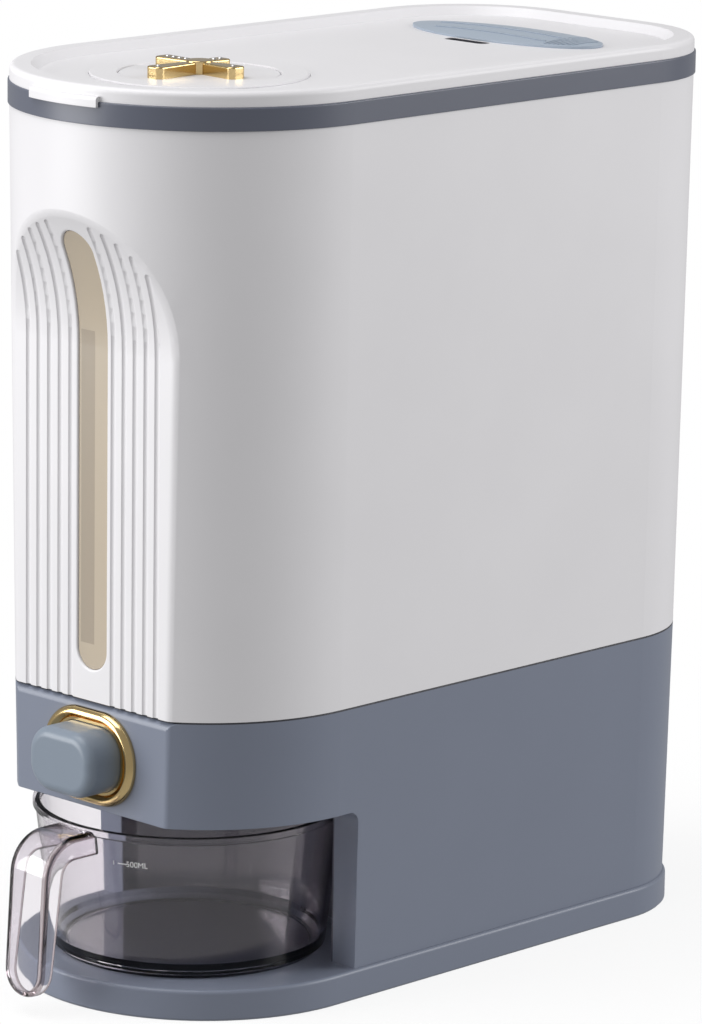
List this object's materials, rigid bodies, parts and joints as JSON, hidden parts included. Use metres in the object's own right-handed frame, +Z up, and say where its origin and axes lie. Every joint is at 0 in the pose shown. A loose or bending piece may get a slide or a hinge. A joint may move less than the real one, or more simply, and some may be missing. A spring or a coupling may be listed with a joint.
{
  "type": "rice dispenser",
  "caption": "Countertop rice dispenser: white bin with a reeded front and viewing slot, grey base with push button, pull-out measuring cup and lift-off lid with a date dial.",
  "frame": {"origin": "centre plane, on the surface that the base stands on", "axes": "+Z up, -Y towards the front with the push button and the cup, +X to the right seen from the front"},
  "size_m": [0.1676, 0.3485, 0.3904],
  "materials": {
    "white_plastic": "satin",
    "grey_plastic": "satin",
    "button_plastic": "satin",
    "gold_plate": "polished gold colour",
    "amber_clear": "translucent",
    "smoke_clear": "transparent",
    "steel": "zinc",
    "seal_rubber": "matte",
    "foot_rubber": "matte",
    "sachet": "matte"
  },
  "bodies": {
    "base": {"base_plate": "grey_plastic", "foot_pads": "foot_rubber", "base_screws": "steel", "lower_housing": "grey_plastic", "button_bezel": "gold_plate", "button_spring": "steel", "gate_guide": "grey_plastic", "guide_screws": "steel", "hopper": "white_plastic", "bin_shell": "white_plastic", "viewing_window": "amber_clear", "window_seal": "seal_rubber", "rim_band": "grey_plastic"},
    "button": {"push_button": "button_plastic", "gate_plate": "white_plastic", "gate_screws": "steel"},
    "lid": {"lid_shell": "white_plastic", "lid_seal": "seal_rubber", "lid_liner": "white_plastic", "absorber_tray": "white_plastic", "absorber_pack": "sachet", "dial_ring": "white_plastic"},
    "dial": {"dial_disc": "white_plastic", "dial_knob": "gold_plate", "dial_spindle": "white_plastic", "dial_clip": "steel"},
    "absorber": {"absorber_cover": "button_plastic"},
    "cup": {"measuring_cup": "smoke_clear", "cup_handle": "smoke_clear"}
  },
  "joints": [
    {"name": "button_press", "type": "slide", "parent": "base", "child": "button", "axis": [0, 1, 0], "range_m": [0, 0.009], "stiffness_N_per_m": 250, "deforming": ["button_spring"]},
    {"name": "lid_lift", "type": "slide", "parent": "base", "child": "lid", "axis": [0, 0, 1], "range_m": [0, 0.08]},
    {"name": "dial_turn", "type": "hinge", "parent": "lid", "child": "dial", "pos_m": [0, -0.0884, 0.3845], "axis": [0, 0, 1], "continuous": true},
    {"name": "absorber_cover_lift", "type": "slide", "parent": "lid", "child": "absorber", "axis": [0, 0, 1], "range_m": [0, 0.02]},
    {"name": "cup_pull", "type": "slide", "parent": "base", "child": "cup", "axis": [0, -1, 0], "range_m": [0, 0.14]}
  ]
}
